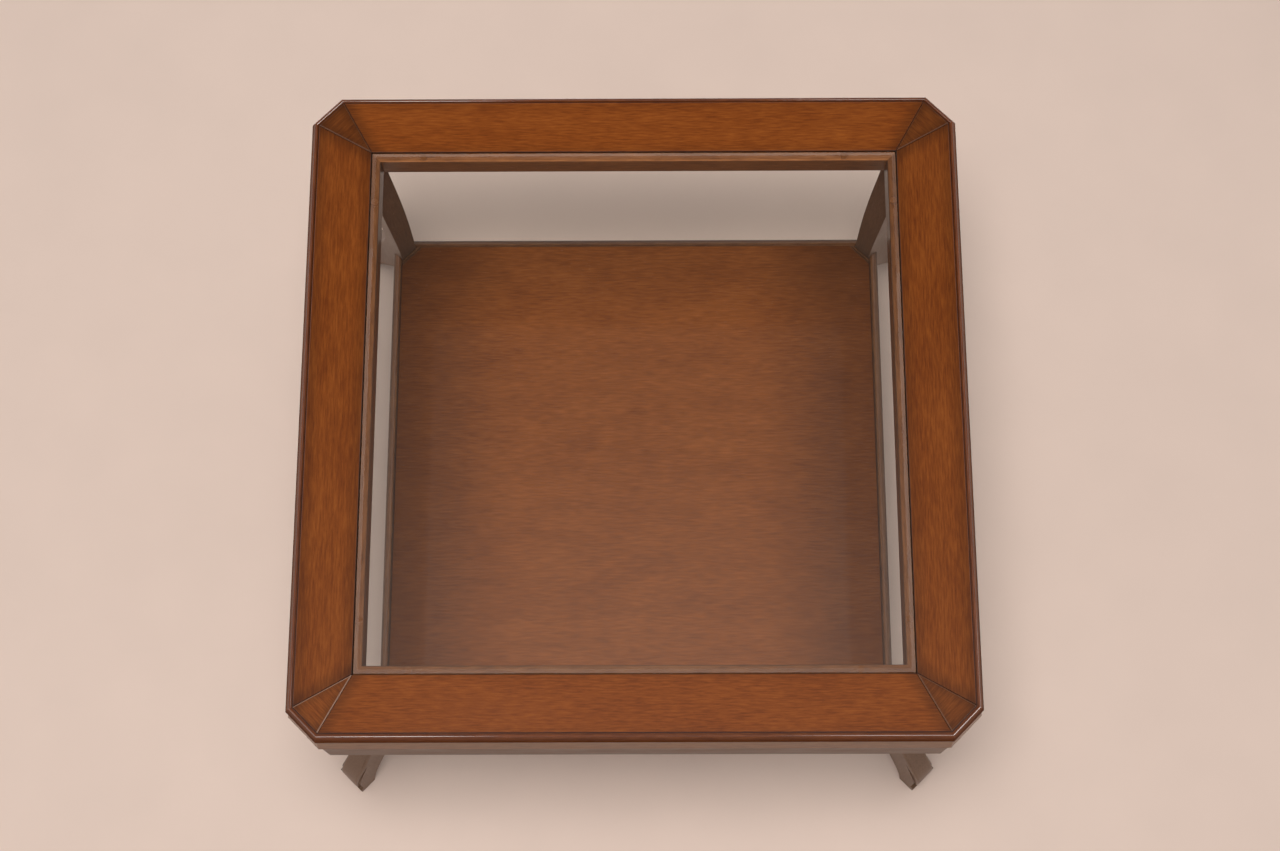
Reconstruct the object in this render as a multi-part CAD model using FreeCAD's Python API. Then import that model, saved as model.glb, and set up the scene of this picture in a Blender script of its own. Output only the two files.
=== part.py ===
import FreeCAD, Part
import math
import os

# Square coffee table with a drop-in glass top, clipped corners, scroll-toed corner legs and a low shelf.
# Millimetres. +Z is up, -Y is the front, and the origin is on the floor under the middle of the top.

# Overall
TOP_WIDTH = 764.0
HEIGHT = 480.0
CORNER_CLIP = 33.6          # taken off each side of a corner of the top

# Top frame
RAIL_WIDTH = 63.3
RAIL_THICKNESS = 20.0
ARRIS_ROUND = 1.2           # rounding of the rails' long edges
JOINT_VEE = 1.1             # half width and depth of the V-groove over each rail joint
EDGE_WIDTH = 9.5            # moulding round the rails
EDGE_BEAD = 3.0             # width of its bead
EDGE_FALL = 11.0            # from the top down to its lip
QUIRK_WIDTH = 2.0           # groove beside a bead
LIP_HEIGHT = 2.5
UNDERCUT = 1.5              # under a lip
FALL_ROUND = 0.4            # swell of the face that falls to a lip
SPLINE_START = 38.0         # loose tongues in the rail joints, measured from the inner corner
SPLINE_LENGTH = 28.0
SPLINE_BITE = 6.5
SPLINE_THICKNESS = 4.0

# Glass and the ledge that carries it
GLASS_THICKNESS = 5.0
GLASS_GAP = 1.2             # all round, between the pane and the rails
GLASS_BEVEL = 4.5
GLASS_EDGE = 3.4            # thickness left at the rim of the bevel
LEDGE_WIDTH = 10.5
LEDGE_HEIGHT = 30.0
LEDGE_ROUND = 1.6
BUMPER_DIAMETER = 8.0
BUMPER_HEIGHT = 1.0
BUMPER_INSET = 60.0         # from the pane's corner to the bumpers beside it

# Frieze moulding under the rails, and the aprons under it
FRIEZE_HEIGHT = 28.0
FRIEZE_DEPTH = 40.0
FRIEZE_PROUD = 3.0          # beyond the edge of the top, at its foot
FRIEZE_ROUND = 2.5
APRON_HEIGHT = 76.0
APRON_THICKNESS = 20.0
APRON_PROUD = 0.5
APRON_ROUND = 2.0
TONGUE_BITE = 7.0           # loose tongues in the apron mitres
TONGUE_THICKNESS = 4.0
TONGUE_STOP = 12.0          # above the apron's lower edge

# Legs, set cornerwise: distances run out along the diagonal of the table
LEG_WIDTH = 31.0            # across the post and the knee
POST_DEPTH = 52.0           # behind the short apron
INNER_PULL = 130.0          # how far the inner face holds its line above the shelf
POST_PULL = 60.0            # same, below the post's top
KNEE_PULL = 55.0            # same, for the outer face below the apron
ANKLE_HEIGHT = 235.0
ANKLE_DEPTH = 27.0
ANKLE_WIDTH = 24.0
ANKLE_PULL = 70.0
SHIN_PULL = 100.0
WIDTH_PULL = 90.0           # same, for the taper in the leg's width
TAPER_END = 40.0
TOE_REACH = 13.5            # beyond the face of the short apron
TOE_HEIGHT = 30.0           # of its upright nose
TOE_PULL = 42.0             # how far the sweep turns upright above the nose
TOE_WIDTH = 29.0            # across the raised scroll
FOOT_WIDTH = 41.0           # across the pad on the floor
FLARE_START = 38.0          # how far the foot holds the ankle's width below the shelf
FLARE_HEIGHT = 57.0
FLARE_EASE = 5.0
PAD_HEIGHT = 11.0
SCROLL_STEP = 5.0           # width of the rebate beside the scroll
SCROLL_ROUND = 3.5          # rounding of the scroll's edges, and on up the shin
SOLE_LENGTH = 22.0
HEEL_RUN = 8.0
HEEL_RISE = 43.0
CALF_PULL = 38.0

# Shelf
SHELF_WIDTH = 642.0
SHELF_HEIGHT = 168.0        # floor to the shelf's top
SHELF_THICKNESS = 20.0
SHELF_EDGE = 12.0           # moulding along each side
SHELF_RETURN = 6.0          # moulding in front of each leg
SHELF_BEAD = 4.0
SHELF_FALL = 8.0

# Joints, fixings and feet
FIT = 0.15                  # round every dowel, tongue and screw
HOUSING_FIT = 0.3           # each side of a leg in the shelf's corner
CORNER_DOWEL = 8.0          # from the short apron into the leg
CORNER_DOWEL_IN_LEG = 25.0
CORNER_DOWEL_IN_APRON = 12.0
CORNER_DOWEL_RISE = 15.0    # of the lower one, above the apron's lower edge
CORNER_DOWEL_PITCH = 30.0
LEG_DOWEL = 10.0            # from the leg up into the frieze
LEG_DOWEL_IN_LEG = 15.0
LEG_DOWEL_IN_FRIEZE = 15.0
LEG_DOWEL_INSET = 9.0       # from the post's face behind the short apron
SHELF_DOWEL = 8.0
SHELF_DOWEL_IN_LEG = 15.0
SHELF_DOWEL_IN_SHELF = 30.0
BLOCK_SIDE = 16.0
BLOCK_LENGTH = 60.0
BLOCK_SPREAD = 220.0        # from the middle of a side to its glue blocks
SCREW_SPREAD = 110.0
SCREW_SHANK = 4.5
SCREW_HEAD = 8.5
SCREW_HEAD_HEIGHT = 2.7
SCREW_IN_RAIL = 13.0
SCREW_INSET = 9.0           # from the frieze's inner face
GLIDE_DIAMETER = 15.0
GLIDE_HEIGHT = 2.5
GLIDE_NAIL = 3.0
GLIDE_NAIL_LENGTH = 12.0

ROOT2 = math.sqrt(2.0)
OCTAGON_ANGLE = 22.5
OCTAGON_SLOPE = math.tan(math.radians(OCTAGON_ANGLE))
MARGIN = 5.0                # overshoot of cutting shapes
NEAR = 0.01                 # for finding edges by their place
ROD_FACETS = 10

# Places that follow from the sizes
half_top = TOP_WIDTH / 2
clip_face = (TOP_WIDTH - CORNER_CLIP) / ROOT2
clip_half = CORNER_CLIP / ROOT2
field_half = half_top - EDGE_WIDTH
field_corner = half_top - CORNER_CLIP - OCTAGON_SLOPE * EDGE_WIDTH
opening_half = field_half - RAIL_WIDTH
rail_under = HEIGHT - RAIL_THICKNESS
frieze_under = rail_under - FRIEZE_HEIGHT
apron_under = frieze_under - APRON_HEIGHT
ledge_top = HEIGHT - GLASS_THICKNESS - BUMPER_HEIGHT
ledge_inner = opening_half - LEDGE_WIDTH
pane_half = opening_half - GLASS_GAP
frieze_inner = half_top + FRIEZE_PROUD - FRIEZE_DEPTH
apron_inner = half_top + APRON_PROUD - APRON_THICKNESS
knee_face = clip_face + APRON_PROUD
post_face = knee_face - APRON_THICKNESS
post_inner = post_face - POST_DEPTH
toe_end = knee_face + TOE_REACH
glide_place = toe_end - SOLE_LENGTH / 2
sole = GLIDE_HEIGHT
shelf_half = SHELF_WIDTH / 2
shelf_under = SHELF_HEIGHT - SHELF_THICKNESS
panel_half = shelf_half - SHELF_EDGE
housing_half = ANKLE_WIDTH / 2 + HOUSING_FIT
leg_inner = panel_half * ROOT2 - housing_half

SIDES = {"right": 0, "back": 90, "left": 180, "front": 270}
CORNERS = {"back_right": 45, "back_left": 135, "front_left": 225, "front_right": 315}


def in_section(point):
    return FreeCAD.Vector(point[0], 0, point[1])


def outline(start, *moves):
    """Face in the XZ plane. A move is one point (line), two (arc through both) or three (cubic curve)."""
    edges = []
    here = in_section(start)
    for move in moves + ((start,),):
        points = [in_section(point) for point in move]
        if len(points) == 1:
            curve = Part.LineSegment(here, points[0])
        elif len(points) == 2:
            curve = Part.Arc(here, *points)
        else:
            curve = Part.BezierCurve()
            curve.setPoles([here] + points)
        edges.append(curve.toShape())
        here = points[-1]
    return Part.Face(Part.Wire(edges))


def corner_round(before, corner, after):
    """Middle and end of a round of 45 degrees' sagitta between two points that share a square corner."""
    middle = [corner[i] + (before[i] + after[i] - 2 * corner[i]) * (1 - 1 / ROOT2) for i in (0, 1)]
    return (tuple(middle), after)


def along_y(face, half_length):
    bar = face.extrude(FreeCAD.Vector(0, 2 * half_length, 0))
    bar.translate(FreeCAD.Vector(0, -half_length, 0))
    return bar


def plan_prism(points, low, high):
    loop = [FreeCAD.Vector(x, y, low) for x, y in points + points[:1]]
    return Part.Face(Part.makePolygon(loop)).extrude(FreeCAD.Vector(0, 0, high - low))


def mitred(section, at, half_length, slope):
    """Bar of the section along Y, its ends cut so that at x = at it is half_length long each way."""
    box = section.BoundBox
    ends = [(x, half_length + slope * (x - at)) for x in (box.XMin - MARGIN, box.XMax + MARGIN)]
    plan = ends + [(x, -y) for x, y in reversed(ends)]
    bar = along_y(section, max(y for x, y in ends) + MARGIN)
    return bar.common(plan_prism(plan, box.ZMin - MARGIN, box.ZMax + MARGIN))


def turned(shape, angle):
    copy = shape.copy()
    copy.rotate(FreeCAD.Vector(0, 0, 0), FreeCAD.Vector(0, 0, 1), angle)
    return copy


def rod(diameter, start, direction, length):
    """Round bar with flat facets: pins, discs and their holes repeat, so each is kept light."""
    turns = [2 * math.pi * i / ROD_FACETS for i in range(ROD_FACETS)]
    ring = [FreeCAD.Vector(math.cos(turn), math.sin(turn), 0) * (diameter / 2) for turn in turns]
    bar = Part.Face(Part.makePolygon(ring + ring[:1])).extrude(FreeCAD.Vector(0, 0, length))
    bar.Placement = FreeCAD.Placement(
        FreeCAD.Vector(*start), FreeCAD.Rotation(FreeCAD.Vector(0, 0, 1), FreeCAD.Vector(*direction)))
    return bar


def box(low, high):
    size = [b - a for a, b in zip(low, high)]
    return Part.makeBox(*size, FreeCAD.Vector(*low))


def cut_all(shape, tools):
    for tool in tools:
        shape = shape.cut(tool)
    return shape


# Rails and corner wedges of the top, in the frame of the right-hand side and the back right corner


def joint_frame(shape):
    """Lays a shape made along +X on the joint line of the right-hand rail and the back right wedge."""
    angle = math.degrees(math.atan2(field_corner - opening_half, RAIL_WIDTH))
    shape = turned(shape, angle)
    shape.translate(FreeCAD.Vector(opening_half, opening_half, 0))
    return shape


def joint_vee():
    reach = math.hypot(RAIL_WIDTH, field_corner - opening_half)
    points = [(-JOINT_VEE, HEIGHT), (JOINT_VEE, HEIGHT), (0, HEIGHT - JOINT_VEE)]
    loop = [FreeCAD.Vector(-MARGIN, y, z) for y, z in points + points[:1]]
    vee = Part.Face(Part.makePolygon(loop)).extrude(FreeCAD.Vector(reach + 2 * MARGIN, 0, 0))
    return joint_frame(vee)


def joint_spline(clearance):
    middle = HEIGHT - RAIL_THICKNESS / 2
    low = (SPLINE_START, -SPLINE_BITE, middle - SPLINE_THICKNESS / 2)
    high = (SPLINE_START + SPLINE_LENGTH, SPLINE_BITE, middle + SPLINE_THICKNESS / 2)
    return joint_frame(box([a - clearance for a in low], [b + clearance for b in high]))


def mirrored(shape):
    return shape.mirror(FreeCAD.Vector(0, 0, 0), FreeCAD.Vector(0, 1, 0))


def both_ends(shape):
    return [shape, mirrored(shape)]


def side_screw_places():
    return [(frieze_inner + SCREW_INSET, y) for y in (-SCREW_SPREAD, SCREW_SPREAD)]


def screw_holes():
    width = SCREW_SHANK + 2 * FIT
    length = FRIEZE_HEIGHT + SCREW_IN_RAIL + FIT
    return [rod(width, (x, y, frieze_under), (0, 0, 1), length) for x, y in side_screw_places()]


def make_rail():
    top = HEIGHT
    arris = HEIGHT - ARRIS_ROUND
    section = outline(
        (opening_half, rail_under),
        ((opening_half, arris),),
        corner_round((opening_half, arris), (opening_half, top), (opening_half + ARRIS_ROUND, top)),
        ((field_half - ARRIS_ROUND, top),),
        corner_round((field_half - ARRIS_ROUND, top), (field_half, top), (field_half, arris)),
        ((field_half, rail_under),),
    )
    rail = mitred(section, opening_half, opening_half, (field_corner - opening_half) / RAIL_WIDTH)
    return cut_all(rail, both_ends(joint_vee()) + both_ends(joint_spline(FIT)) + screw_holes())


def make_wedge():
    """Triangle between two rails, with its base on the clipped corner; made at the back right."""
    base = clip_face - EDGE_WIDTH
    base_half = (field_half - field_corner) / ROOT2
    section = outline(
        (opening_half * ROOT2, rail_under),
        ((opening_half * ROOT2, HEIGHT),),
        ((base - ARRIS_ROUND, HEIGHT),),
        corner_round((base - ARRIS_ROUND, HEIGHT), (base, HEIGHT), (base, HEIGHT - ARRIS_ROUND)),
        ((base, rail_under),),
    )
    plan = [(opening_half * ROOT2, 0), (base, -base_half), (base, base_half)]
    wedge = along_y(section, base_half).common(plan_prism(plan, rail_under, HEIGHT))
    tools = [turned(tool, -45) for tool in (joint_vee(), joint_spline(FIT))]
    return cut_all(wedge, [one for tool in tools for one in both_ends(tool)])


# Bars that follow the outline of the top: a section is drawn outwards to the edge it is given


def beaded_section(at, width, bead, fall, top, under):
    """A quirk, a round bead as high as the quirk is deep, and a face that falls to a thin lip."""
    inner = at - width
    quirk = top - bead / 2
    bead_start = inner + QUIRK_WIDTH
    bead_end = bead_start + bead
    lip = top - fall
    swell = ((bead_end + at) / 2 + FALL_ROUND, (quirk + lip) / 2 + FALL_ROUND)
    return outline(
        (inner, under),
        ((inner, quirk),),
        ((bead_start, quirk),),
        ((bead_start + bead / 2, top), (bead_end, quirk)),
        (swell, (at, lip)),
        ((at, lip - LIP_HEIGHT),),
        ((at - UNDERCUT, lip - LIP_HEIGHT - UNDERCUT),),
        ((at - UNDERCUT, under),),
    )


def edge_section(at):
    return beaded_section(at, EDGE_WIDTH, EDGE_BEAD, EDGE_FALL, HEIGHT, rail_under)


def frieze_section(at):
    face = at + FRIEZE_PROUD
    inner = face - FRIEZE_DEPTH
    low = frieze_under
    return outline(
        (inner, low),
        ((inner, rail_under),),
        ((at - UNDERCUT, rail_under),),
        ((face, low + FRIEZE_ROUND),),
        corner_round((face, low + FRIEZE_ROUND), (face, low), (face - FRIEZE_ROUND, low)),
    )


def apron_section(at):
    face = at + APRON_PROUD
    inner = face - APRON_THICKNESS
    low = apron_under
    return outline(
        (inner, low),
        ((inner, frieze_under),),
        ((face, frieze_under),),
        ((face, low + APRON_ROUND),),
        corner_round((face, low + APRON_ROUND), (face, low), (face - APRON_ROUND, low)),
    )


def side_bar(section_at):
    return mitred(section_at(half_top), half_top, half_top - CORNER_CLIP, OCTAGON_SLOPE)


def corner_bar(section_at):
    return mitred(section_at(clip_face), clip_face, clip_half, OCTAGON_SLOPE)


# Glass and its ledge


def make_ledge():
    top = ledge_top
    section = outline(
        (ledge_inner, top - LEDGE_HEIGHT),
        ((ledge_inner, top - LEDGE_ROUND),),
        corner_round((ledge_inner, top - LEDGE_ROUND), (ledge_inner, top), (ledge_inner + LEDGE_ROUND, top)),
        ((opening_half, top),),
        ((opening_half, top - LEDGE_HEIGHT),),
    )
    return mitred(section, opening_half, opening_half, 1.0)


def square_wire(half, z):
    points = [(-half, -half), (half, -half), (half, half), (-half, half), (-half, -half)]
    return Part.makePolygon([FreeCAD.Vector(x, y, z) for x, y in points])


def make_pane():
    bottom = HEIGHT - GLASS_THICKNESS
    slab = box((-pane_half, -pane_half, bottom), (pane_half, pane_half, bottom + GLASS_EDGE))
    levels = [square_wire(pane_half, bottom + GLASS_EDGE), square_wire(pane_half - GLASS_BEVEL, HEIGHT)]
    return slab.fuse(Part.makeLoft(levels, True, True)).removeSplitter()


def make_bumpers():
    middle = opening_half - LEDGE_WIDTH / 2
    places = [(middle, y) for y in (-pane_half + BUMPER_INSET, pane_half - BUMPER_INSET)]
    discs = [rod(BUMPER_DIAMETER, (x, y, ledge_top), (0, 0, 1), BUMPER_HEIGHT) for x, y in places]
    return [turned(disc, angle) for angle in SIDES.values() for disc in discs]


# Aprons and legs, in the frames of the right-hand side and the back right corner


def apron_tongue(clearance):
    """Upright tongue across the mitre at the +Y end of the right-hand apron."""
    x = apron_inner + APRON_THICKNESS / 2
    y = half_top - CORNER_CLIP + OCTAGON_SLOPE * (x - half_top)
    half_thickness = TONGUE_THICKNESS / 2 + clearance
    bite = TONGUE_BITE + clearance
    low = (-half_thickness, -bite, apron_under + TONGUE_STOP - clearance)
    tongue = turned(box(low, (half_thickness, bite, frieze_under)), OCTAGON_ANGLE)
    tongue.translate(FreeCAD.Vector(x, y, 0))
    return tongue


def make_apron():
    return cut_all(side_bar(apron_section), both_ends(apron_tongue(FIT)))


def make_apron_corner():
    return cut_all(corner_bar(apron_section), both_ends(turned(apron_tongue(FIT), -45)) + corner_dowels(FIT))


def corner_dowels(clearance):
    start = post_face - CORNER_DOWEL_IN_LEG - clearance
    length = CORNER_DOWEL_IN_LEG + CORNER_DOWEL_IN_APRON + 2 * clearance
    lower = apron_under + CORNER_DOWEL_RISE
    levels = (lower, lower + CORNER_DOWEL_PITCH)
    return [rod(CORNER_DOWEL + 2 * clearance, (start, 0, z), (1, 0, 0), length) for z in levels]


def leg_side():
    """The leg seen square to the diagonal: a post, a full knee, a slim ankle and a toe that sweeps out."""
    ankle = leg_inner + ANKLE_DEPTH
    heel = toe_end - SOLE_LENGTH
    top = frieze_under
    return outline(
        (leg_inner, SHELF_HEIGHT),
        ((leg_inner, SHELF_HEIGHT + INNER_PULL), (post_inner, top - POST_PULL), (post_inner, top)),
        ((post_face, top),),
        ((post_face, apron_under),),
        ((knee_face, apron_under),),
        ((knee_face, apron_under - KNEE_PULL), (ankle, ANKLE_HEIGHT + ANKLE_PULL), (ankle, ANKLE_HEIGHT)),
        ((ankle, ANKLE_HEIGHT - SHIN_PULL), (toe_end, TOE_HEIGHT + TOE_PULL), (toe_end, TOE_HEIGHT)),
        ((toe_end, sole),),
        ((heel, sole),),
        ((heel - HEEL_RUN, sole + HEEL_RISE), (leg_inner, shelf_under - CALF_PULL), (leg_inner, shelf_under)),
    )


def leg_front():
    """Half of the leg seen along the diagonal: it narrows to the shelf and flares to the floor."""
    knee = LEG_WIDTH / 2
    ankle = ANKLE_WIDTH / 2
    foot = FOOT_WIDTH / 2
    return outline(
        (0, frieze_under),
        ((knee, frieze_under),),
        ((knee, apron_under),),
        ((knee, apron_under - WIDTH_PULL), (ankle, SHELF_HEIGHT + TAPER_END), (ankle, SHELF_HEIGHT)),
        ((ankle, shelf_under),),
        ((ankle, shelf_under - FLARE_START), (foot - FLARE_EASE, sole + FLARE_HEIGHT), (foot, sole)),
        ((0, sole),),
    )


def scroll_rebates(side):
    """Steps beside the toe that leave the narrower scroll standing above the pad."""
    thick = along_y(side, FOOT_WIDTH)
    core = thick.copy()
    core.translate(FreeCAD.Vector(-SCROLL_STEP, 0, -SCROLL_STEP))
    rim = thick.cut(core)
    low = (leg_inner, TOE_WIDTH / 2, PAD_HEIGHT)
    high = (toe_end + MARGIN, FOOT_WIDTH, shelf_under)
    return both_ends(rim.common(box(low, high)))


def scroll_edges(leg):
    """The upright nose's side edges and the sweeping ones above them."""
    found = []
    for edge in leg.Edges:
        place = edge.BoundBox
        beside = [abs(abs(y) - TOE_WIDTH / 2) < NEAR for y in (place.YMin, place.YMax)]
        at_nose = place.XMax > toe_end - NEAR and place.ZMax > PAD_HEIGHT + NEAR
        if at_nose and all(beside) and place.YLength < NEAR:
            found.append(edge)
    return found


def make_leg():
    side = leg_side()
    half = turned(leg_front().extrude(FreeCAD.Vector(0, toe_end + MARGIN, 0)), -90)
    width = half.fuse(mirrored(half)).removeSplitter()
    leg = along_y(side, FOOT_WIDTH).common(width)
    nail_hole = rod(GLIDE_NAIL + 2 * FIT, (glide_place, 0, sole), (0, 0, 1), GLIDE_NAIL_LENGTH + FIT)
    holes = corner_dowels(FIT) + [leg_dowel(FIT), shelf_dowel(FIT), nail_hole]
    leg = cut_all(leg, scroll_rebates(side))
    return cut_all(leg.makeFillet(SCROLL_ROUND, scroll_edges(leg)), holes)


def leg_dowel(clearance):
    start = (post_face - LEG_DOWEL_INSET, 0, frieze_under - LEG_DOWEL_IN_LEG - clearance)
    length = LEG_DOWEL_IN_LEG + LEG_DOWEL_IN_FRIEZE + 2 * clearance
    return rod(LEG_DOWEL + 2 * clearance, start, (0, 0, 1), length)


def shelf_dowel(clearance):
    start = (leg_inner - SHELF_DOWEL_IN_SHELF - clearance, 0, SHELF_HEIGHT - SHELF_THICKNESS / 2)
    length = SHELF_DOWEL_IN_SHELF + SHELF_DOWEL_IN_LEG + 2 * clearance
    return rod(SHELF_DOWEL + 2 * clearance, start, (1, 0, 0), length)


def make_glide():
    disc = rod(GLIDE_DIAMETER, (glide_place, 0, 0), (0, 0, 1), GLIDE_HEIGHT)
    nail = rod(GLIDE_NAIL, (glide_place, 0, 0), (0, 0, 1), GLIDE_HEIGHT + GLIDE_NAIL_LENGTH)
    return disc.fuse(nail).removeSplitter()


# Shelf


def make_shelf_panel():
    panel = box((-panel_half, -panel_half, shelf_under), (panel_half, panel_half, SHELF_HEIGHT))
    clip_at = leg_inner - SHELF_RETURN
    clip = box((clip_at, -shelf_half, shelf_under - MARGIN), (SHELF_WIDTH, shelf_half, SHELF_HEIGHT + MARGIN))
    for angle in CORNERS.values():
        panel = cut_all(panel, [turned(clip, angle), turned(shelf_dowel(FIT), angle)])
    return panel


def make_shelf_edge():
    section = beaded_section(shelf_half, SHELF_EDGE, SHELF_BEAD, SHELF_FALL, SHELF_HEIGHT, shelf_under)
    return mitred(section, shelf_half, shelf_half - housing_half * ROOT2, 1.0)


def make_shelf_corner():
    """Short moulding in front of a leg, closing the panel's clipped corner between two long ones."""
    inner = leg_inner - SHELF_RETURN
    quirk = SHELF_HEIGHT - SHELF_BEAD / 2
    section = outline(
        (inner, shelf_under),
        ((inner, quirk),),
        ((leg_inner - SHELF_BEAD, quirk),),
        ((leg_inner - SHELF_BEAD / 2, SHELF_HEIGHT), (leg_inner, quirk)),
        ((leg_inner, shelf_under),),
    )
    return mitred(section, leg_inner, housing_half, -1.0).cut(shelf_dowel(FIT))


# Glue blocks and screws under the top


def make_blocks():
    """Triangular blocks in the angle between an apron and the frieze above it."""
    section = outline(
        (apron_inner, frieze_under),
        ((apron_inner - BLOCK_SIDE, frieze_under),),
        ((apron_inner, frieze_under - BLOCK_SIDE),),
    )
    block = along_y(section, BLOCK_LENGTH / 2)
    blocks = []
    for shift in (-BLOCK_SPREAD, BLOCK_SPREAD):
        one = block.copy()
        one.translate(FreeCAD.Vector(0, shift, 0))
        blocks.append(one)
    return blocks


def make_screws():
    screws = []
    for x, y in side_screw_places():
        head = rod(SCREW_HEAD, (x, y, frieze_under - SCREW_HEAD_HEIGHT), (0, 0, 1), SCREW_HEAD_HEIGHT)
        shank = rod(SCREW_SHANK, (x, y, frieze_under), (0, 0, 1), FRIEZE_HEIGHT + SCREW_IN_RAIL)
        screws.append(head.fuse(shank).removeSplitter())
    return screws


def build():
    nodes = {}
    side_pieces = {
        "top_rail": make_rail(),
        "edge_moulding": side_bar(edge_section),
        "frieze_moulding": cut_all(side_bar(frieze_section), screw_holes()),
        "glass_ledge": make_ledge(),
        "apron": make_apron(),
        "shelf_edge": make_shelf_edge(),
    }
    for name, shape in side_pieces.items():
        for side, angle in SIDES.items():
            nodes[f"{name}_{side}"] = turned(shape, angle)

    corner_pieces = {
        "corner_wedge": make_wedge(),
        "edge_corner": corner_bar(edge_section),
        "frieze_corner": corner_bar(frieze_section).cut(leg_dowel(FIT)),
        "apron_corner": make_apron_corner(),
        "leg": make_leg(),
        "shelf_corner": make_shelf_corner(),
    }
    for name, shape in corner_pieces.items():
        for corner, angle in CORNERS.items():
            nodes[f"{name}_{corner}"] = turned(shape, angle)

    nodes["glass_pane"] = make_pane()
    nodes["shelf_panel"] = make_shelf_panel()

    def all_round(shapes, angles):
        return Part.makeCompound([turned(shape, angle) for angle in angles.values() for shape in shapes])

    nodes["glass_bumpers"] = Part.makeCompound(make_bumpers())
    nodes["joint_splines"] = all_round(both_ends(joint_spline(0)), SIDES)
    nodes["apron_tongues"] = all_round(both_ends(apron_tongue(0)), SIDES)
    nodes["corner_dowels"] = all_round(corner_dowels(0), CORNERS)
    nodes["leg_dowels"] = all_round([leg_dowel(0)], CORNERS)
    nodes["shelf_dowels"] = all_round([shelf_dowel(0)], CORNERS)
    nodes["glue_blocks"] = all_round(make_blocks(), SIDES)
    nodes["top_screws"] = all_round(make_screws(), SIDES)
    nodes["foot_glides"] = all_round([make_glide()], CORNERS)
    return nodes


os.makedirs("parts", exist_ok=True)
for node, shape in build().items():
    shape.exportStep(f"parts/{node}.step")
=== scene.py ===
"""Looks and studio for the glass-top coffee table. Metres, in the frame of the CAD part."""
import math
from typing import NamedTuple

import bpy
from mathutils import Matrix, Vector

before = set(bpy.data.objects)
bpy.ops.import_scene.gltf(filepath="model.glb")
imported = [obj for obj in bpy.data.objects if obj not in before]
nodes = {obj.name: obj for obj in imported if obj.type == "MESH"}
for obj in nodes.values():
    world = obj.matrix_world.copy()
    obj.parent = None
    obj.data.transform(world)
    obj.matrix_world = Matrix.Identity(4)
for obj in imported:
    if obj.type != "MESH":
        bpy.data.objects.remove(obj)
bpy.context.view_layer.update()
scene = bpy.context.scene

# Camera, fitted to the photograph
CAMERA_AT = (0.0157, -0.6467, 2.6500)
CAMERA_TURN = (15.944, 0.266, -0.107)    # degrees about X, Y and Z
CAMERA_LENS = 56.05
SENSOR_WIDTH = 36.0

# Outward directions of the sides and the clipped corners in plan
DIAGONAL = math.sqrt(0.5)
SIDES = {"front": (0.0, -1.0), "back": (0.0, 1.0), "left": (-1.0, 0.0), "right": (1.0, 0.0)}
CORNERS = {"front_left": (-DIAGONAL, -DIAGONAL), "front_right": (DIAGONAL, -DIAGONAL),
           "back_left": (-DIAGONAL, DIAGONAL), "back_right": (DIAGONAL, DIAGONAL)}

# Wood: linear colours of the dark streaks, the body and the light streaks
VENEER = ((0.100, 0.020, 0.0020), (0.156, 0.0365, 0.0036), (0.215, 0.056, 0.0065))
WEDGE = ((0.085, 0.018, 0.0020), (0.135, 0.034, 0.0040), (0.190, 0.052, 0.0080))
EDGE = ((0.075, 0.015, 0.0020), (0.120, 0.027, 0.0035), (0.170, 0.043, 0.0070))
SOLID = ((0.085, 0.029, 0.010), (0.142, 0.056, 0.020), (0.200, 0.084, 0.031))
LEG = ((0.096, 0.047, 0.025), (0.118, 0.061, 0.034), (0.142, 0.077, 0.044))
LEDGE = ((0.095, 0.032, 0.010), (0.165, 0.060, 0.019), (0.220, 0.086, 0.030))
SHELF = ((0.160, 0.041, 0.006), (0.236, 0.066, 0.010), (0.312, 0.094, 0.017))
BEECH = ((0.42, 0.27, 0.14), (0.56, 0.39, 0.22), (0.64, 0.47, 0.29))

# Tones of single pieces, as shares of the colours of their wood; the tones by side and by corner are
# painted light and shade, each side of one wood lighter or darker as it takes the light
RAIL_SHADING_TONE = {"front": 1.08, "back": 1.18, "left": 1.0, "right": 0.99}
LEDGE_SHADING_TONE = {"front": 1.0, "back": 1.25, "left": 0.98, "right": 0.94}
APRON_SHADING_TONE = {"front": 0.62, "back": 0.60, "left": 0.7, "right": 0.7}
SHELF_EDGE_SHADING_TONE = {"front": 1.0, "back": 0.80, "left": 1.2, "right": 1.0}
WEDGE_SHADING_TONE = {"front_left": 1.20, "front_right": 1.0, "back_left": 0.80, "back_right": 0.86}
FRIEZE_TONE = 1.08
CORNER_TONE = 0.6
PIECE_TONES = (0.97, 1.03)               # from piece to piece

# Grain: scale, detail and roughness of its noises, and how they are mixed
FINE_GRAIN = (520.0, 5.0, 0.60)
CLOUDS = (34.0, 3.0, 0.55)
PORES = (1500.0, 2.0, 0.5)
GRAIN_STRETCH = 0.10                     # along the grain, against 1 across it
CLOUD_STRETCH = 0.35
GRAIN_SHARE = 0.72
CLOUD_SHARE = 0.28
STREAK_LEVELS = (0.32, 0.50, 0.68)       # of the dark streaks, the body and the light streaks
PORE_LEVELS = (0.62, 0.72)
PORE_DEPTH = 0.35
PORE_STAIN = (0.45, 0.40, 0.38, 1.0)
GRAIN_HEIGHT = 0.00010
GRAIN_BUMP = 0.30


class Finish(NamedTuple):
    """Weight and roughness of the lacquer, and roughness and specular level of the wood under it."""
    coat: float
    coat_roughness: float = 0.06
    roughness: float = 0.40
    specular: float = 0.10


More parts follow.
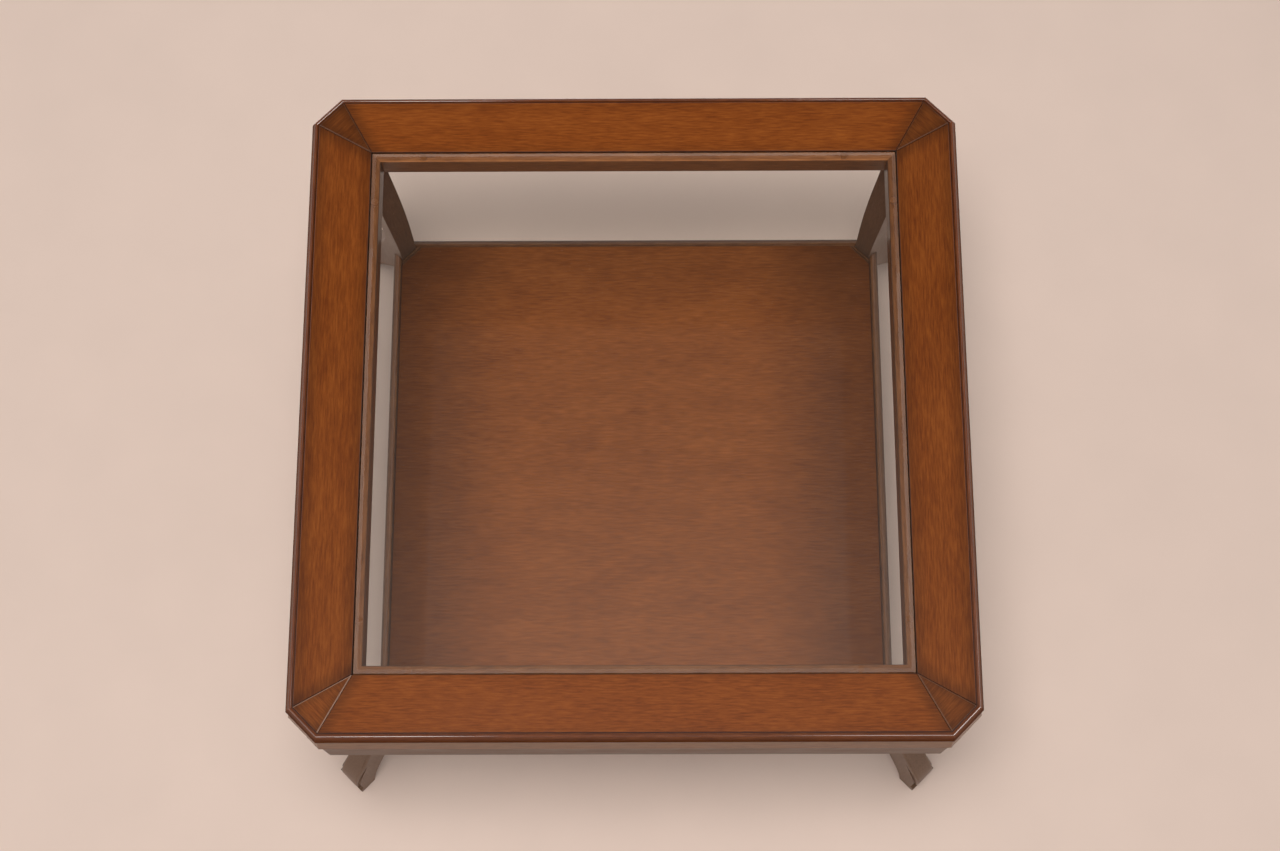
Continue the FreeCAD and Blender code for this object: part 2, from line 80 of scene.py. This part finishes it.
TOP_FINISH = Finish(coat=0.55)
EDGE_FINISH = Finish(coat=1.0, specular=0.0)
MOULDING_FINISH = Finish(coat=0.3)      # ledges and shelf edges
SHELF_FINISH = Finish(coat=0.5)
FRIEZE_FINISH = Finish(coat=0.36, coat_roughness=0.12)
APRON_FINISH = Finish(coat=0.08, coat_roughness=0.12)
CORNER_FINISH = Finish(coat=0.12, coat_roughness=0.12)
LEG_FINISH = Finish(coat=0.4, coat_roughness=0.25)
BARE_FINISH = Finish(coat=0.0, roughness=0.6)
COAT_IOR = 1.6
UNEVEN_LEVELS = (0.3, 0.7)               # noise levels over which a gloss or a tone changes
ROUGHNESS_STEPS = (-0.04, 0.06)          # from the roughness of the wood, at those levels

# Bands beside the edges of a piece: its level at the edge, darker below 1, and its width
# Darker towards both edges of the rails and towards their ends, and towards the outer edge and the ends of
# the wedges
RAIL_SIDE_BAND = {"front": (0.93, 0.012), "back": (0.86, 0.016),
                  "left": (0.70, 0.019), "right": (0.72, 0.019)}
RAIL_END_BAND = (0.62, 0.020)
# Painted shade in the V-grooves, on the lips of the rails beside the wedges
RAIL_GROOVE_SHADE_BAND = (0.40, 0.0016)           # lips of the grooves beside the wedges
# Painted shade on the rails' edge at the gap round the glass
RAIL_GAP_SHADE_BAND = (0.22, 0.0011)           # gap round the glass
WEDGE_BAND = (0.72, 0.012)
# Painted shade in the quirk of the edge mouldings and on their outer fall
QUIRK_SHADE_BAND = (0.25, 0.0024)              # inner side of the edge mouldings
FALL_SHADE_BAND = (0.60, 0.0055)               # their outer fall
DULL_BAND = (0.08, 0.0062)               # lacquer left on that fall
# Painted shade in the gap beside the glass, on the ledges' inner arris and on the back ledge's inner face
LEDGE_GAP_SHADE_BAND = (0.15, 0.0018)
LEDGE_ARRIS_SHADE_BAND = (0.45, 0.0018)
BACK_LEDGE_FACE_SHADE_BAND = (0.46, 0.0008)
# Painted highlight: a lighter line along the back ledge's inner arris, standing for a glint
BACK_LEDGE_GLINT_BAND = (1.50, 0.0030)
# Painted shade in the quirk and on the fall of the shelf edges
SHELF_QUIRK_SHADE_BAND = {**dict.fromkeys(SIDES, (0.18, 0.0030)), "back": (0.60, 0.0016)}
SHELF_FALL_SHADE_BAND = {**dict.fromkeys(SIDES, (0.50, 0.0060)), "back": (0.35, 0.0085)}
# Painted shade on the shelf towards its sides and its back, where the frame above shades it
SHELF_SIDE_SHADE_BAND = (0.53, 0.150)
SHELF_BACK_SHADE_BAND = (0.72, 0.130)
NEAR = 0.001

# Pale lips along the sides of the wedges: painted glints of the grooves catching the light, by corner
GLINT_LIP_COLOUR = (0.40, 0.25, 0.18, 1.0)
GLINT_LIP_WIDTH = 0.0016
GLINT_LIP_SHARE = {"front_left": 0.9, "front_right": 0.28, "back_left": 0.15, "back_right": 0.10}

# Glass and small parts
GLASS_TINT = (0.985, 0.980, 0.960, 1.0)
GLASS_IOR = 1.5
SMEAR_SCALE = 14.0
SMEAR_LEVELS = (0.4, 0.8)
SMEAR_ROUGHNESS = 0.03
STEEL = (0.62, 0.60, 0.55)
STEEL_ROUGHNESS = 0.35
NYLON = (0.03, 0.03, 0.03)
NYLON_ROUGHNESS = 0.5
VINYL_ROUGHNESS = 0.3
MOTTLE_SCALE = 60.0
MOTTLE_SPREAD = 0.05
MOTTLE_HEIGHT = 0.0005
MOTTLE_BUMP = 0.05
PLAIN_DETAIL = 4.0                       # of the noise in these
PLAIN_ROUGHNESS = 0.5
PLAIN_UNEVEN = 0.05                      # of the roughness, either way

# Floor and sky
FLOOR_COLOUR = (0.71, 0.55, 0.465)
FLOOR_ROUGHNESS = 0.9
FLOOR_MOTTLE = 9.0
FLOOR_SPREAD = 0.015
FLOOR_SIZE = 120.0
HORIZON = (0.03, (0.40, 0.31, 0.27))     # the tone of the floor far away
SKY_LEVELS = ((0.08, 0.44), (0.5, 0.44), (0.78, 0.52), (0.87, 0.10),
              (0.93, 0.10), (0.965, 0.27), (0.99, 0.50))      # upward share of a direction, and light
FRONT_SKY = 0.18                         # more light from the front and the sides
FRONT_SKY_FROM = (-0.2, -0.6)
SIDE_SKY = 0.30
SIDE_SKY_FROM = (0.3, 0.7)

# Lamps
OVERHEAD_AT = (-0.20, -0.42, 4.0)
OVERHEAD_AIM = (-0.08, 0.0, 0.3)
OVERHEAD_SIZE = (1.2, 1.1)
OVERHEAD_WATTS = 40.0
OVERHEAD_SPREAD = 120.0                  # degrees
PANEL_AIM = (0.0, 0.0, 0.48)             # middle of the top

# Panels that show only as glints: place, size and glow
BEAD_PANELS = {
    "key_panel": ((2.60, -1.90, 2.1), (0.7, 2.4), 15.0),
    "front_left_panel": ((-0.68, -3.1, 2.0), (0.40, 2.4), 12.5),
    "front_right_panel": ((0.68, -3.1, 2.0), (0.40, 2.4), 7.0),
    "corner_panel": ((-2.60, -1.90, 2.1), (0.7, 2.4), 3.0),
    "right_low_panel": ((3.10, 0.05, 1.4), (0.4, 1.0), 5.0),
}
ROOM_PANELS = {
    "right_panel": ((3.10, 0.60, 3.0), (1.8, 1.6), 0.7),
    "left_panel": ((-3.10, 0.60, 2.4), (1.8, 2.6), 0.6),
    "front_high_panel": ((0.0, -1.80, 3.1), (2.4, 0.8), 1.0),
    "back_panel": ((0.0, 3.00, 1.9), (2.4, 0.9), 0.8),
}

# Colour sockets of the mix node
MIX_A = 6
MIX_B = 7
MIX_RESULT = 2


class Graph:
    """A node tree with short calls for adding and linking nodes."""

    def __init__(self, tree):
        self.tree = tree
        tree.nodes.clear()

    def add(self, kind, settings=None, **inputs):
        node = self.tree.nodes.new(kind)
        for name, value in (settings or {}).items():
            setattr(node, name, value)
        for name, value in inputs.items():
            self.put(node.inputs[name.replace("_", " ")], value)
        return node

    def put(self, socket, value):
        if isinstance(value, bpy.types.NodeSocket):
            self.tree.links.new(value, socket)
        else:
            socket.default_value = value

    def place(self):
        return self.add("ShaderNodeTexCoord").outputs["Object"]

    def piece_random(self):
        return self.add("ShaderNodeObjectInfo").outputs["Random"]

    def noise(self, place, scale, detail=PLAIN_DETAIL, roughness=PLAIN_ROUGHNESS):
        node = self.add("ShaderNodeTexNoise", Vector=place, Scale=scale, Detail=detail, Roughness=roughness)
        return node.outputs["Fac"]

    def math(self, operation, a, b):
        node = self.add("ShaderNodeMath", {"operation": operation})
        self.put(node.inputs[0], a)
        self.put(node.inputs[1], b)
        return node.outputs[0]

    def absolute(self, value):
        return self.add("ShaderNodeMath", {"operation": "ABSOLUTE"}, Value=value).outputs[0]

    def vector_math(self, operation, a, b, output="Vector"):
        node = self.add("ShaderNodeVectorMath", {"operation": operation})
        self.put(node.inputs[0], a)
        self.put(node.inputs[1], b)
        return node.outputs[output]

    def ramp(self, value, *stops):
        node = self.add("ShaderNodeValToRGB", Fac=value)
        elements = node.color_ramp.elements
        while len(elements) < len(stops):
            elements.new(0.5)
        for element, (place, colour) in zip(elements, stops):
            element.position = place
            element.color = (*colour, 1.0)
        return node.outputs["Color"]

    def spread(self, value, low, high, new_low, new_high, curve="LINEAR"):
        """The value with the range from low to high mapped to the new range."""
        node = self.add("ShaderNodeMapRange", {"interpolation_type": curve}, Value=value,
                        From_Min=low, From_Max=high, To_Min=new_low, To_Max=new_high)
        return node.outputs["Result"]

    def blend(self, mode, amount, a, b):
        node = self.add("ShaderNodeMix", {"data_type": "RGBA", "blend_type": mode}, Factor=amount)
        self.put(node.inputs[MIX_A], a)
        self.put(node.inputs[MIX_B], b)
        return node.outputs[MIX_RESULT]


def new_material(name):
    """A material with its graph, its shader and the socket that takes the shader."""
    material = bpy.data.materials.new(name)
    material.use_nodes = True
    graph = Graph(material.node_tree)
    shader = graph.add("ShaderNodeBsdfPrincipled")
    surface = graph.add("ShaderNodeOutputMaterial").inputs["Surface"]
    graph.put(surface, shader.outputs["BSDF"])
    return material, graph, shader, surface


class Plan:
    """A piece from above: its reach along its outward direction, and its half length at both ends of that.

    A band is a share of the reach and of the distance from the middle, where the band starts and ends in
    that measure, and its level.
    """

    def __init__(self, name, outward):
        self.outward = Vector((*outward, 0.0))
        self.along = Vector((-outward[1], outward[0], 0.0))
        self.angle = math.degrees(math.atan2(self.along.y, self.along.x))
        spots = [vertex.co for vertex in nodes[name].data.vertices]
        reaches = [spot.dot(self.outward) for spot in spots]
        self.inner, self.outer = min(reaches), max(reaches)
        halves = [abs(spot.dot(self.along)) for spot in spots]
        self.inner_half = max(half for half, reach in zip(halves, reaches) if reach < self.inner + NEAR)
        self.outer_half = max(half for half, reach in zip(halves, reaches) if reach > self.outer - NEAR)

    def outer_band(self, level, width):
        return 1.0, 0.0, self.outer, self.outer - width, level

    def inner_band(self, level, width):
        return 1.0, 0.0, self.inner, self.inner + width, level

    def end_band(self, level, width):
        slope = (self.outer_half - self.inner_half) / (self.outer - self.inner)
        scale = 1.0 / math.hypot(slope, 1.0)
        start = scale * (slope * self.inner - self.inner_half)
        return scale * slope, -scale, start, start + width, level

    def side_band(self, level, width):
        return 0.0, 1.0, self.outer_half, self.outer_half - width, level


def within_bands(graph, plan, bands, level):
    """The given level, changed inside the bands, which paint shade, highlights and darker toning."""
    place = graph.place()
    reach = graph.vector_math("DOT_PRODUCT", place, plan.outward, "Value")
    side = graph.absolute(graph.vector_math("DOT_PRODUCT", place, plan.along, "Value"))
    for reach_share, side_share, start, end, band_level in bands:
        reach_part = graph.math("MULTIPLY", reach, reach_share)
        side_part = graph.math("MULTIPLY", side, side_share)
        measure = graph.math("ADD", reach_part, side_part)
        band = graph.spread(measure, start, end, band_level, 1.0, "SMOOTHSTEP")
        level = graph.math("MULTIPLY", band, level)
    return level


def stretched(graph, angle, upright, stretch):
    """Object coordinates squeezed along the grain: at an angle from X in plan, or upright."""
    turned = graph.add("ShaderNodeVectorRotate", {"rotation_type": "Z_AXIS"},
                       Vector=graph.place(), Angle=-math.radians(angle)).outputs["Vector"]
    scale = (1.0, 1.0, stretch) if upright else (stretch, 1.0, 1.0)
    squeezed = graph.vector_math("MULTIPLY", turned, scale)
    return graph.vector_math("ADD", squeezed, graph.piece_random())


def wood(name, colours, finish, angle=0.0, upright=False, tone=1.0, plan=None, bands=(), dull=None,
         glint_lip=None):
    """Stained wood under lacquer, with darker and lighter bands (mostly painted shade, one painted
    highlight), a dull band and pale lips painted as glints, by the plan.
    """
    material, graph, shader, _ = new_material(name)
    grain = stretched(graph, angle, upright, GRAIN_STRETCH)
    cloud = stretched(graph, angle, upright, CLOUD_STRETCH)
    fine = graph.noise(grain, *FINE_GRAIN)
    broad = graph.noise(cloud, *CLOUDS)
    pores = graph.noise(grain, *PORES)
    fine_part = graph.math("MULTIPLY", fine, GRAIN_SHARE)
    broad_part = graph.math("MULTIPLY", broad, CLOUD_SHARE)
    colour = graph.ramp(graph.math("ADD", fine_part, broad_part), *zip(STREAK_LEVELS, colours))
    flecks = graph.spread(pores, *PORE_LEVELS, 0.0, PORE_DEPTH)
    colour = graph.blend("MULTIPLY", flecks, colour, PORE_STAIN)
    level = graph.spread(graph.piece_random(), 0.0, 1.0, *(share * tone for share in PIECE_TONES))
    if plan:
        level = within_bands(graph, plan, bands, level)
    colour = graph.add("ShaderNodeHueSaturation", Color=colour, Value=level).outputs["Color"]
    # painted glint: the lips mixed towards a pale colour
    if glint_lip:
        colour = graph.blend("MIX", within_bands(graph, plan, (glint_lip,), 1.0), GLINT_LIP_COLOUR, colour)
    graph.put(shader.inputs["Base Color"], colour)
    ends = (finish.roughness + step for step in ROUGHNESS_STEPS)
    roughness = graph.spread(broad, *UNEVEN_LEVELS, *ends)
    graph.put(shader.inputs["Roughness"], roughness)
    bump = graph.add("ShaderNodeBump", Strength=GRAIN_BUMP, Distance=GRAIN_HEIGHT, Height=fine)
    graph.put(shader.inputs["Normal"], bump.outputs["Normal"])
    shader.inputs["Specular IOR Level"].default_value = finish.specular
    shader.inputs["Coat Weight"].default_value = finish.coat
    shader.inputs["Coat Roughness"].default_value = finish.coat_roughness
    shader.inputs["Coat IOR"].default_value = COAT_IOR
    if dull:
        graph.put(shader.inputs["Coat Weight"], within_bands(graph, plan, (dull,), finish.coat))
    return material


def glass():
    """Clear glass that lets lamps and bounced light through to the shelf without bending them."""
    material, graph, shader, surface = new_material("glass")
    smear = graph.noise(graph.place(), SMEAR_SCALE)
    graph.put(shader.inputs["Roughness"], graph.spread(smear, *SMEAR_LEVELS, 0.0, SMEAR_ROUGHNESS))
    shader.inputs["Base Color"].default_value = GLASS_TINT
    shader.inputs["Transmission Weight"].default_value = 1.0
    shader.inputs["IOR"].default_value = GLASS_IOR
    path = graph.add("ShaderNodeLightPath").outputs
    unbent = graph.math("MAXIMUM", path["Is Shadow Ray"], path["Is Diffuse Ray"])
    clear = graph.add("ShaderNodeBsdfTransparent", Color=GLASS_TINT)
    both = graph.add("ShaderNodeMixShader")
    graph.put(both.inputs[0], unbent)
    graph.put(both.inputs[1], shader.outputs["BSDF"])
    graph.put(both.inputs[2], clear.outputs["BSDF"])
    graph.put(surface, both.outputs["Shader"])
    return material


def plain(name, colour, roughness, metallic=0.0, mottle=MOTTLE_SCALE, spread=MOTTLE_SPREAD):
    """One colour with a little unevenness in its tone, gloss and surface."""
    material, graph, shader, _ = new_material(name)
    noise = graph.noise(graph.place(), mottle)
    tones = [tuple(share * c for c in colour) for share in (1.0 - spread, 1.0 + spread)]
    graph.put(shader.inputs["Base Color"], graph.ramp(noise, *zip(UNEVEN_LEVELS, tones)))
    uneven = graph.spread(noise, *UNEVEN_LEVELS, roughness - PLAIN_UNEVEN, roughness + PLAIN_UNEVEN)
    graph.put(shader.inputs["Roughness"], uneven)
    bump = graph.add("ShaderNodeBump", Strength=MOTTLE_BUMP, Distance=MOTTLE_HEIGHT, Height=noise)
    graph.put(shader.inputs["Normal"], bump.outputs["Normal"])
    shader.inputs["Metallic"].default_value = metallic
    return material


def dress(material, *names):
    for name in names:
        mesh = nodes[name].data
        mesh.materials.clear()
        mesh.materials.append(material)


def dress_bead(name, place, outward):
    """The edge moulding of a side or a corner: painted shade in the quirk beside the top and on its fall,
    and dull lacquer on its fall.
    """
    plan = Plan(name, outward)
    bands = (plan.inner_band(*QUIRK_SHADE_BAND), plan.outer_band(*FALL_SHADE_BAND))
    dull = plan.outer_band(*DULL_BAND)
    dress(wood(f"edge_wood_{place}", EDGE, EDGE_FINISH, plan.angle, plan=plan, bands=bands, dull=dull),
          name)


# Looks of the sides
for side, outward in SIDES.items():
    plan = Plan(f"top_rail_{side}", outward)
    angle = plan.angle
    # painted shade at the glass gap and in the grooves, and darker towards the edges and ends
    bands = (plan.outer_band(*RAIL_SIDE_BAND[side]), plan.inner_band(*RAIL_SIDE_BAND[side]),
             plan.inner_band(*RAIL_GAP_SHADE_BAND), plan.end_band(*RAIL_END_BAND), plan.end_band(*RAIL_GROOVE_SHADE_BAND))
    dress(wood(f"veneer_{side}", VENEER, TOP_FINISH, angle, tone=RAIL_SHADING_TONE[side], plan=plan, bands=bands),
          f"top_rail_{side}")
    dress_bead(f"edge_moulding_{side}", side, outward)
    plan = Plan(f"glass_ledge_{side}", outward)
    # painted shade at the gap and the inner arris; on the back ledge also a painted glint
    bands = (plan.outer_band(*LEDGE_GAP_SHADE_BAND),)
    if side == "back":
        bands += (plan.inner_band(*BACK_LEDGE_FACE_SHADE_BAND), plan.inner_band(*BACK_LEDGE_GLINT_BAND))
    else:
        bands += (plan.inner_band(*LEDGE_ARRIS_SHADE_BAND),)
    dress(wood(f"ledge_wood_{side}", LEDGE, MOULDING_FINISH, angle, tone=LEDGE_SHADING_TONE[side],
               plan=plan, bands=bands),
          f"glass_ledge_{side}")
    plan = Plan(f"shelf_edge_{side}", outward)
    # painted shade in the quirk and on the fall
    bands = (plan.inner_band(*SHELF_QUIRK_SHADE_BAND[side]), plan.outer_band(*SHELF_FALL_SHADE_BAND[side]))
    dress(wood(f"shelf_edge_wood_{side}", SOLID, MOULDING_FINISH, angle, tone=SHELF_EDGE_SHADING_TONE[side],
               plan=plan, bands=bands),
          f"shelf_edge_{side}")
    dress(wood(f"frieze_wood_{side}", SOLID, FRIEZE_FINISH, angle, tone=FRIEZE_TONE),
          f"frieze_moulding_{side}")
    dress(wood(f"apron_wood_{side}", SOLID, APRON_FINISH, angle, tone=APRON_SHADING_TONE[side]), f"apron_{side}")

# Looks of the corners
for corner, outward in CORNERS.items():
    plan = Plan(f"corner_wedge_{corner}", outward)
    angle = plan.angle
    bands = (plan.outer_band(*WEDGE_BAND), plan.end_band(*WEDGE_BAND))
    # painted glints along the ends of the wedge
    glint_lip = plan.end_band(1.0 - GLINT_LIP_SHARE[corner], GLINT_LIP_WIDTH)
    dress(wood(f"wedge_veneer_{corner}", WEDGE, TOP_FINISH, angle, tone=WEDGE_SHADING_TONE[corner],
               plan=plan, bands=bands, glint_lip=glint_lip),
          f"corner_wedge_{corner}")
    dress_bead(f"edge_corner_{corner}", corner, outward)
    dress(wood(f"frieze_wood_{corner}", SOLID, FRIEZE_FINISH, angle, tone=FRIEZE_TONE),
          f"frieze_corner_{corner}")
    dress(wood(f"apron_wood_{corner}", SOLID, CORNER_FINISH, angle, tone=CORNER_TONE),
          f"apron_corner_{corner}", f"shelf_corner_{corner}")
    dress(wood(f"leg_wood_{corner}", LEG, LEG_FINISH, upright=True), f"leg_{corner}")

# Looks of the shelf, the glass and the small parts
# Painted shade on the shelf towards its back and sides
plan = Plan("shelf_panel", SIDES["back"])
bands = (plan.outer_band(*SHELF_BACK_SHADE_BAND), plan.side_band(*SHELF_SIDE_SHADE_BAND))
dress(wood("shelf_veneer", SHELF, SHELF_FINISH, plan=plan, bands=bands), "shelf_panel")
dress(glass(), "glass_pane")
dress(plain("clear_vinyl", LEDGE[1], VINYL_ROUGHNESS), "glass_bumpers")    # the wood shows through
dress(wood("beech", BEECH, BARE_FINISH, upright=True),
      "joint_splines", "apron_tongues", "corner_dowels", "leg_dowels", "shelf_dowels", "glue_blocks")
dress(plain("zinc_steel", STEEL, STEEL_ROUGHNESS, metallic=1.0), "top_screws")
dress(plain("black_nylon", NYLON, NYLON_ROUGHNESS), "foot_glides")

# Floor
bpy.ops.mesh.primitive_plane_add(size=FLOOR_SIZE)
floor = bpy.context.object
floor.name = "floor"
paper = plain("paper_floor", FLOOR_COLOUR, FLOOR_ROUGHNESS, mottle=FLOOR_MOTTLE, spread=FLOOR_SPREAD)
floor.data.materials.append(paper)


def area_light(name, place, aim, size, watts):
    data = bpy.data.lights.new(name, "AREA")
    data.shape = "RECTANGLE"
    data.size, data.size_y = size
    data.energy = watts
    lamp = bpy.data.objects.new(name, data)
    lamp.location = place
    lamp.rotation_euler = (Vector(aim) - Vector(place)).to_track_quat("-Z", "Y").to_euler()
    scene.collection.objects.link(lamp)
    return lamp


def panel(name, place, size, glow, receivers=None):
    """A panel that shows only as a glint, on all pieces or on the receivers."""
    watts = math.pi * size[0] * size[1] * glow
    lamp = area_light(name, place, PANEL_AIM, size, watts)
    lamp.visible_diffuse = False
    lamp.visible_transmission = False
    if receivers:
        lamp.light_linking.receiver_collection = receivers


# Lamps
overhead = area_light("overhead_softbox", OVERHEAD_AT, OVERHEAD_AIM, OVERHEAD_SIZE, OVERHEAD_WATTS)
overhead.data.spread = math.radians(OVERHEAD_SPREAD)
overhead.visible_glossy = False          # no mirror image of it in the glass or under it
overhead.visible_transmission = False

beads = bpy.data.collections.new("beads")
for side in SIDES:
    beads.objects.link(nodes[f"edge_moulding_{side}"])
for corner in CORNERS:
    beads.objects.link(nodes[f"edge_corner_{corner}"])
for name, settings in BEAD_PANELS.items():
    panel(name, *settings, beads)
for name, settings in ROOM_PANELS.items():
    panel(name, *settings)

# Sky
world = bpy.data.worlds.new("studio")
scene.world = world
world.use_nodes = True
sky = Graph(world.node_tree)
direction = sky.add("ShaderNodeTexCoord").outputs["Generated"]
parts = sky.add("ShaderNodeSeparateXYZ", Vector=direction).outputs
greys = ((place, (level, level, level)) for place, level in SKY_LEVELS)
glow = sky.ramp(parts["Z"], HORIZON, *greys)
front_fill = sky.spread(parts["Y"], *FRONT_SKY_FROM, 0.0, FRONT_SKY)
side_fill = sky.spread(sky.absolute(parts["X"]), *SIDE_SKY_FROM, 0.0, SIDE_SKY)
fill = sky.math("ADD", front_fill, side_fill)
glow = sky.blend("ADD", fill, glow, (1.0, 1.0, 1.0, 1.0))
backdrop = sky.add("ShaderNodeBackground", Color=glow)
world_output = sky.add("ShaderNodeOutputWorld")
sky.put(world_output.inputs["Surface"], backdrop.outputs["Background"])

# Camera
camera_data = bpy.data.cameras.new("camera")
camera_data.lens = CAMERA_LENS
camera_data.sensor_width = SENSOR_WIDTH
camera = bpy.data.objects.new("camera", camera_data)
camera.location = CAMERA_AT
camera.rotation_euler = [math.radians(turn) for turn in CAMERA_TURN]
scene.collection.objects.link(camera)
scene.camera = camera

scene.view_settings.view_transform = "Standard"
